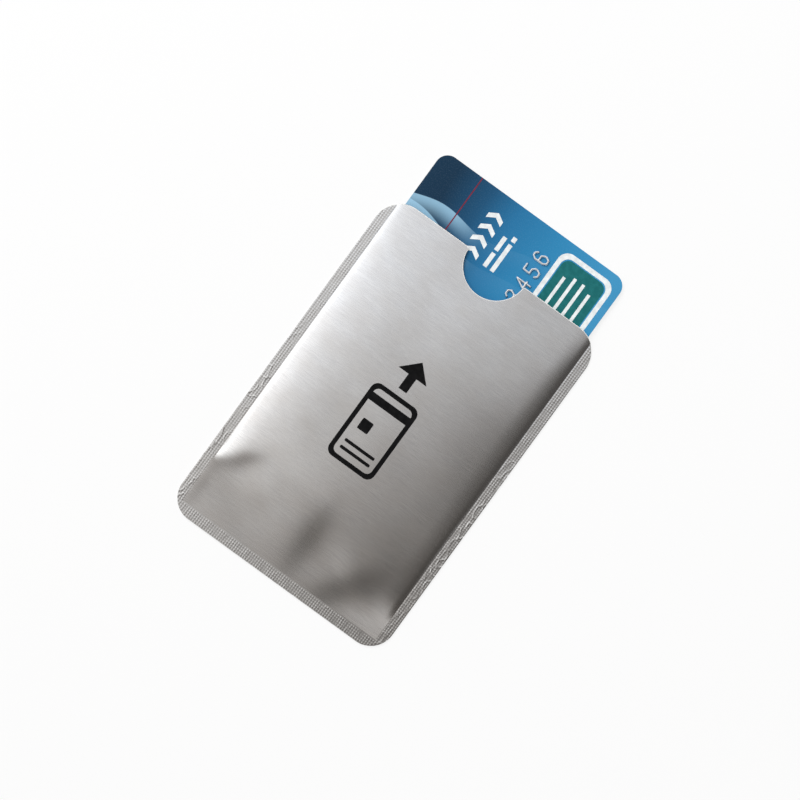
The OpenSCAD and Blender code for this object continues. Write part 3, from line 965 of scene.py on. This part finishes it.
def make_lining():
    """Paper over the pocket, and the three seal strips round it."""
    cuts = [[(side * strip_x, foot_y + 0.01), (side * strip_x, mouth_y)] for side in (-1, 1)]
    cuts.append([(-strip_x, strip_y), (strip_x, strip_y)])
    plan = front_plan(SEAM_STEP, 0.0, [filled(cut, PANEL_STEP, closed=False) for cut in cuts])
    parts = {
        "front_liner": lambda x, y: (np.abs(x) < strip_x) & (y > strip_y),
        "left_seal_strip": lambda x, y: x < -strip_x,
        "right_seal_strip": lambda x, y: x > strip_x,
        "bottom_seal_strip": lambda x, y: (np.abs(x) < strip_x) & (y < strip_y),
    }
    for node, inside in parts.items():
        part = cut_plan(plan, inside)
        sheet = closed_sheet(node + "_sheet", part, part, front_level(foil_z), front_level(web_z))
        slot = "liner_paper" if node == "front_liner" else "seal_coating"
        finish_piece(sheet, "sleeve", slot, node)


def make_back_film():
    """Outer film of the back, with the knurl pressed into its seams."""
    fine = back_plan(KNURL_PITCH / BACK_DOT_STEPS)
    coarse = back_plan(FLAT_SEAM_STEP)
    back = closed_sheet("back_film_skin", coarse, fine, flat_level(film_t), back_bottom)
    finish_piece(back, "sleeve", "brushed_film", "back_film")


def figure_boxes(low, high):
    """The printed figure of a card: its outline, its inner edge and the blocks on it."""
    line = FIGURE_LINE
    x = (low[0] + high[0]) / 2
    y = low[1] + FIGURE_L / 2
    half = (high[0] - low[0]) / 2
    inner_w = 2 * (half - line)
    inner_l = FIGURE_L - 2 * line

    def block(cx, cy, w, l):
        return (cx - w / 2, cy - l / 2), (cx + w / 2, cy + l / 2), BLOCK_R

    outer = ((low[0], low[1]), (high[0], low[1] + FIGURE_L), FIGURE_R)
    inner_low = (low[0] + line, low[1] + line)
    inner_high = (high[0] - line, low[1] + FIGURE_L - line)
    inner = (inner_low, inner_high, FIGURE_R - line / 2)
    stripe = block(x, y + inner_l / 2 - 2.2 * line, 2 * half - line, 1.8 * line)
    chip = block(x - inner_w / 5, y, 2.6 * line, 2.6 * line)
    rows = [block(x, y + up * line - inner_l / 2, inner_w - 2 * line, 0.7 * line) for up in (1.7, 3.4)]
    return outer, inner, [stripe, chip] + rows


def arrow_shape(x, low_y, tip_y):
    """Loop of an arrow towards the mouth, and the test for what it covers."""
    line = FIGURE_LINE
    half = ARROW_W / 2
    neck_y = low_y + half
    loop = [
        (x - line, low_y), (x + line, low_y), (x + line, neck_y), (x + half, neck_y),
        (x, tip_y), (x - half, neck_y), (x - line, neck_y),
    ]

    def inside(px, py):
        shaft = (np.abs(px - x) < line) & (py > low_y) & (py < neck_y)
        head = (py > neck_y) & (np.abs(px - x) < tip_y - py)
        return shaft | head

    return filled(loop), inside


def figure_shapes(low, high):
    """Loops of the whole print, and the test for what they cover."""
    outer, inner, blocks = figure_boxes(low, high)
    arrow, in_arrow = arrow_shape((low[0] + high[0]) / 2, high[1] - ARROW_W, high[1])

    def inside(px, py):
        covered = round_box_distance(px, py, *outer) < 0
        covered &= round_box_distance(px, py, *inner) > 0
        for shape in blocks:
            covered |= round_box_distance(px, py, *shape) < 0
        return covered | in_arrow(px, py)

    return [round_box_loop(*shape) for shape in [outer, inner] + blocks] + [arrow], inside


def make_print():
    """Black print on the front, which follows the film."""
    low, high = box_mm("front_print")
    loops, inside = figure_shapes(low, high)
    x, y = grid(np.arange(low[0], high[0], INK_STEP), np.arange(low[1], high[1], INK_STEP))
    plan = make_plan(loops, [], x, y, inside)
    figure = closed_sheet(
        "front_print_ink", plan, plan,
        lambda px, py: film_top(px, py) + INK_PROUD, lambda px, py: film_top(px, py) - INK_SUNK,
    )
    finish_piece(figure, "sleeve", "black_ink", "front_print")


# Pieces of the card

def make_overlay():
    """Clear printed face of the card, with soft edges and the opening for the contacts."""
    card = (card_low, card_high, CARD_CORNER_R)
    plate = (plate_low, plate_high, PLATE_CORNER_R)

    def inset_loop(inset):
        shrink = 1 - inset / card_high[0]
        return [(x * shrink, y - inset * (1 if y > 0 else -1)) for x, y in round_box_loop(*card)]

    insets = (0.0, CARD_EDGE_ROUND * 0.4, CARD_EDGE_ROUND)
    loops = [inset_loop(inset) for inset in insets] + [round_box_loop(*plate)]
    x, y = grid(np.arange(-24, 25, CARD_STEP), np.arange(card_low[1] + 3, card_high[1] - 2, CARD_STEP))
    clear = np.abs(round_box_distance(x, y, *plate)) > 0.5
    plan = make_plan(
        loops, [], x[clear], y[clear],
        lambda px, py: (round_box_distance(px, py, *card) < 0) & (round_box_distance(px, py, *plate) > 0),
    )

    def top(px, py):
        depth = np.clip(-round_box_distance(px, py, *card) / CARD_EDGE_ROUND, 0, 1)
        return card_high[2] - 0.5 * (card_high[2] - card_low[2]) * (1 - depth) ** 2

    overlay = closed_sheet("card_face_overlay", plan, plan, top, flat_level(card_low[2]))
    finish_piece(overlay, "card", "card_face", "card_front_overlay")


def stroke_distance(x, y, strokes):
    """Distance to the nearest stroke, and the nearest point on it."""
    best = np.full_like(x, 1e9)
    near_x, near_y = np.zeros_like(x), np.zeros_like(y)
    for stroke in strokes:
        for (x0, y0), (x1, y1) in zip(stroke, stroke[1:]):
            dx, dy = x1 - x0, y1 - y0
            share = np.clip(((x - x0) * dx + (y - y0) * dy) / (dx * dx + dy * dy), 0, 1)
            px, py = x0 + share * dx, y0 + share * dy
            distance = np.hypot(x - px, y - py)
            closer = distance < best
            best = np.where(closer, distance, best)
            near_x, near_y = np.where(closer, px, near_x), np.where(closer, py, near_y)
    return best, near_x, near_y


def placed_strokes(value, centre_x, centre_y, half_l, half_h):
    """Strokes of one digit, which reads along +Y with its top towards -X."""
    return [
        [(centre_x - v * half_h, centre_y + u * half_l) for u, v in stroke]
        for stroke in DIGIT_STROKES[value]
    ]


def digit_plan(strokes, centre_x, centre_y, half_l, half_h):
    """Plan of one raised digit, and its points' distances from the strokes."""
    reach_x = half_h + RIDGE_MARGIN
    reach_y = half_l + RIDGE_MARGIN
    x, y = grid(
        centre_x + np.arange(-reach_x, reach_x, RIDGE_STEP),
        centre_y + np.arange(-reach_y, reach_y, RIDGE_STEP),
    )
    xy, faces = make_plan([], [], x, y, lambda px, py: stroke_distance(px, py, strokes)[0] < RIDGE_HALF)
    distance, near_x, near_y = stroke_distance(xy[:, 0], xy[:, 1], strokes)
    rim = np.unique(np.array(open_edges(faces)))
    pull = (RIDGE_HALF / distance[rim])[:, None]
    nearest = np.column_stack([near_x[rim], near_y[rim]])
    xy[rim] = nearest + (xy[rim] - nearest) * pull
    return (xy, faces), stroke_distance(xy[:, 0], xy[:, 1], strokes)[0]


def make_number():
    """All raised digits, as one piece of closed ridges."""
    base_z, tip_z = number_low[2], number_high[2]
    half_l = DIGIT_W / 2 - STROKE / 2
    half_h = (number_high[0] - number_low[0]) / 2 - STROKE / 2
    centre_x = (number_high[0] + number_low[0]) / 2
    last_y = number_high[1] - DIGIT_W / 2
    last_place = DIGIT_COUNT - 1 + (DIGIT_COUNT - 1) // DIGIT_GROUP
    verts = []
    faces = []
    for i in range(DIGIT_COUNT):
        centre_y = last_y + (i + i // DIGIT_GROUP - last_place) * DIGIT_PITCH
        place = (centre_x, centre_y, half_l, half_h)
        (xy, plan_faces), distance = digit_plan(placed_strokes((i + 1) % 10, *place), *place)
        height = 1 - smooth(RIDGE_TOP_HALF, RIDGE_HALF, distance)
        top = np.column_stack([xy, base_z + (tip_z - base_z) * height])
        sunk = np.column_stack([xy, np.full(len(xy), base_z - RIDGE_SUNK)])
        start = len(verts)
        under = start + len(xy)
        verts += top.tolist() + sunk.tolist()
        faces += (plan_faces + start).tolist() + (plan_faces[:, ::-1] + under).tolist()
        for a, b in open_edges(plan_faces):
            faces.append((start + a, under + a, under + b, start + b))
    number = make_mesh("raised_number_ridges", verts, faces, crease=75)
    finish_piece(number, "card", "embossed_silver", "raised_number")


def dress_nodes():
    """The CAD nodes that stay get the finish of their slot."""
    slots = {
        "back_liner": "liner_paper", "back_foil": "shield_foil", "card_core": "card_plastic",
        "antenna_coil": "antenna_copper", "chip_capsule": "chip_resin", "chip_carrier": "chip_tape",
        "contact_pads": "contact_gold", "card_front_sheet": "card_face", "card_back_sheet": "card_back",
        "card_back_overlay": "card_back", "magnetic_stripe": "stripe_black",
        "signature_panel": "signature_paper", "white_print": "white_ink", "teal_print": "teal_ink",
        "red_hairline": "red_ink",
    }
    for node, slot in slots.items():
        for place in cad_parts[node].material_slots:
            place.material = PAINTS[slot]


# Stage, light and camera

# Pixels for one millimetre at the sleeve's front, in a square frame of this many pixels
PX_PER_MM = 4.2
FRAME_PX = 800
# The camera's height in metres, its sensor, the place under it and its turn in degrees
CAMERA_H = 0.45
SENSOR = 36.0
VIEW_X = -0.536
VIEW_Y = 6.852
VIEW_TURN = 36.0

# White floor just under the sleeve. Most of what is seen of it is an even glow.
FLOOR_Z = -0.05
FLOOR_HALF = 3000.0
FLOOR_LEVEL = 0.9
FLOOR_GLOW = 0.8

# Soft box, in metres and watts
LAMP_PLACE = (-0.5, 0.35, 0.55)
LAMP_SIZE = 0.35
LAMP_POWER = 3.0

# The world is bright towards the sleeve's upper left and dark towards its lower right
BRIGHT_SIDE = (-0.82, 0.57)
SKY_LEVEL = 1.6
# How bright it is by how far a direction leans to the bright side, from -1 to 1
SKY_STOPS = (
    (-1.0, 0.1), (-0.6, 0.06), (-0.3, 0.082), (-0.13, 0.115), (-0.06, 0.265), (0.0, 0.54),
    (0.07, 0.76), (0.2, 1.15), (0.5, 1.55), (1.0, 1.6),
)
# Its darker half is a little warm, which shows in the film's dark tones
SKY_WARM = 0.09
# Towards the sleeve's foot it darkens no further than this lean
FOOT_LEAN = 0.13
# Low down it turns to the same grey all round, between two heights of a direction, which go
# from 0 at the horizon to 1 straight up
HORIZON_LEVEL = 0.62
HORIZON_FROM = 0.7
HORIZON_TO = 0.48
HORIZON_SHARE = 0.85


def make_floor():
    """White floor that glows where it is seen, and still shows the object's shadow."""
    half = FLOOR_HALF
    corners = [(x * half, y * half, FLOOR_Z) for x, y in ((-1, -1), (1, -1), (1, 1), (-1, 1))]
    floor = make_mesh("floor", corners, [(0, 1, 2, 3)])
    paint = Paint("floor_white", (FLOOR_LEVEL, FLOOR_LEVEL, FLOOR_LEVEL), 0.9)
    paint.into("Roughness", paint.spread(paint.noise(40, 2.0), 0.86, 0.94))
    rays = paint.node("ShaderNodeLightPath").outputs
    seen = paint.math("MAXIMUM", rays["Is Camera Ray"], rays["Is Glossy Ray"])
    seen = paint.math("MAXIMUM", seen, rays["Is Transmission Ray"])
    blend = paint.node("ShaderNodeMixShader")
    paint.feed(blend.inputs[0], paint.times(seen, FLOOR_GLOW))
    paint.feed(blend.inputs[1], paint.shader.outputs[0])
    paint.feed(blend.inputs[2], paint.node("ShaderNodeEmission").outputs[0])
    paint.feed(paint.tree.nodes["Material Output"].inputs["Surface"], blend.outputs[0])
    floor.data.materials.append(paint.material)


def sky_ramp(sky, lean):
    """Colour of the world by a direction's lean to the bright side."""
    ramp = sky.node("ShaderNodeValToRGB")
    ramp.color_ramp.interpolation = "LINEAR"
    stops = ramp.color_ramp.elements
    while len(stops) < len(SKY_STOPS):
        stops.new(0.5)
    for stop, (at, level) in zip(stops, SKY_STOPS):
        share = level / SKY_LEVEL
        warm = SKY_WARM * max(0.0, 1 - 2 * share)
        stop.position = (at + 1) / 2
        stop.color = (share * (1 + warm), share, share * (1 - warm), 1)
    sky.feed(ramp.inputs[0], sky.scaled(lean, -1.0, 1.0))
    return ramp.outputs[0]


def make_world():
    """Soft light from all round."""
    world = bpy.data.worlds.new("studio")
    bpy.context.scene.world = world
    world.use_nodes = True
    sky = Tree(world.node_tree)
    along_x, along_y, up = sky.parts(sky.node("ShaderNodeTexCoord").outputs["Generated"])
    capped = sky.math("MAXIMUM", along_y, -FOOT_LEAN)
    lean = sky.plus(sky.times(along_x, BRIGHT_SIDE[0]), sky.times(capped, BRIGHT_SIDE[1]))
    low_down = sky.scaled(up, HORIZON_FROM, HORIZON_TO, 0.0, HORIZON_SHARE, soft=True)
    grey = HORIZON_LEVEL / SKY_LEVEL
    background = sky.tree.nodes["Background"]
    sky.feed(background.inputs["Color"], sky.mix(low_down, sky_ramp(sky, lean), (grey, grey, grey)))
    sky.feed(background.inputs["Strength"], SKY_LEVEL)


def make_lamp():
    """Soft box at the upper left. It lights what isn't a mirror and throws a soft shadow."""
    lamp = bpy.data.lights.new("soft_box", "AREA")
    lamp.shape = "SQUARE"
    lamp.size = LAMP_SIZE
    lamp.energy = LAMP_POWER
    box = bpy.data.objects.new("soft_box", lamp)
    box.location = LAMP_PLACE
    box.rotation_euler = Vector(LAMP_PLACE).to_track_quat("Z", "Y").to_euler()
    box.visible_glossy = False
    bpy.context.scene.collection.objects.link(box)


def make_camera():
    """Camera straight above the sleeve, turned so that the sleeve lies as in the photo."""
    camera = bpy.data.cameras.new("camera")
    camera.sensor_width = SENSOR
    camera.lens = SENSOR * CAMERA_H / (FRAME_PX / PX_PER_MM * MM)
    holder = bpy.data.objects.new("camera", camera)
    holder.location = (VIEW_X * MM, VIEW_Y * MM, CAMERA_H + front_top_z * MM)
    holder.rotation_euler = (0, 0, math.radians(VIEW_TURN))
    bpy.context.scene.collection.objects.link(holder)
    bpy.context.scene.camera = holder


make_film()
make_foil()
make_lining()
make_back_film()
make_print()
make_overlay()
make_number()
dress_nodes()
make_floor()
make_world()
make_lamp()
make_camera()
bpy.context.scene.view_settings.view_transform = "Standard"
